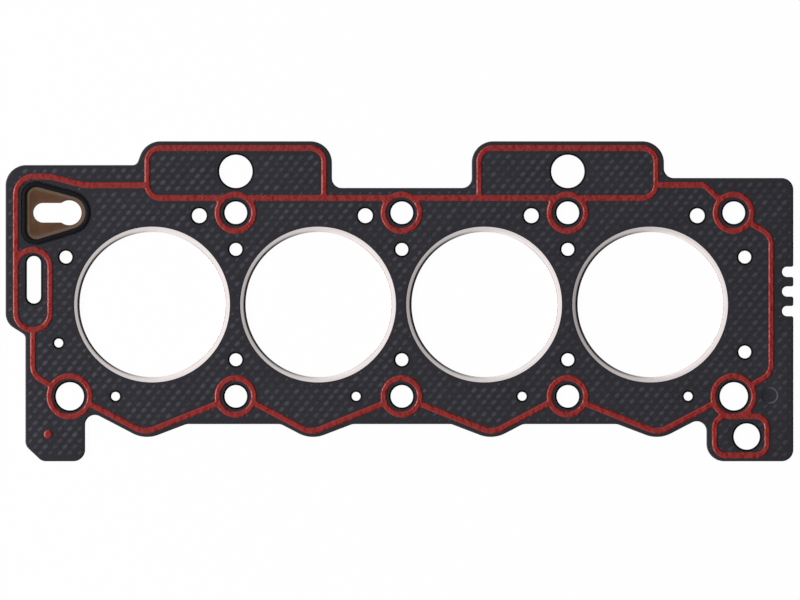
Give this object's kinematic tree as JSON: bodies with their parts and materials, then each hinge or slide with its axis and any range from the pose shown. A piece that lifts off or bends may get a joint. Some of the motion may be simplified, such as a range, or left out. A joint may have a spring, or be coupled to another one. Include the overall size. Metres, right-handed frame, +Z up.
{
  "type": "cylinder head gasket",
  "caption": "Flat composite cylinder head gasket: graphite facings on a steel core, folded metal fire rings, printed silicone beads, punched holes and a framed oil port with a keyhole.",
  "frame": {"origin": "on the plane that the gasket rests on, midway between the two head bolts that stand between the second and third cylinders, on the line through the middles of the cylinder openings", "axes": "+X along the row of cylinders, away from the oil port end; +Y towards the edge with the lobes; +Z up, towards the cylinder head"},
  "size_m": [0.4034, 0.1639, 0.0021],
  "materials": {
    "core_steel": "satin",
    "graphite": "matte",
    "stainless": "satin",
    "silicone": "satin",
    "coated_steel": "matte",
    "elastomer": "satin"
  },
  "bodies": {
    "root": {"steel_core": "core_steel", "graphite_facing_upper": "graphite", "graphite_facing_lower": "graphite", "fire_ring_1": "stainless", "fire_ring_2": "stainless", "fire_ring_3": "stainless", "fire_ring_4": "stainless", "silicone_bead_upper": "silicone", "silicone_bead_lower": "silicone", "silicone_dot_upper": "silicone", "oil_port_plate": "coated_steel", "oil_port_seal": "elastomer"}
  },
  "joints": []
}
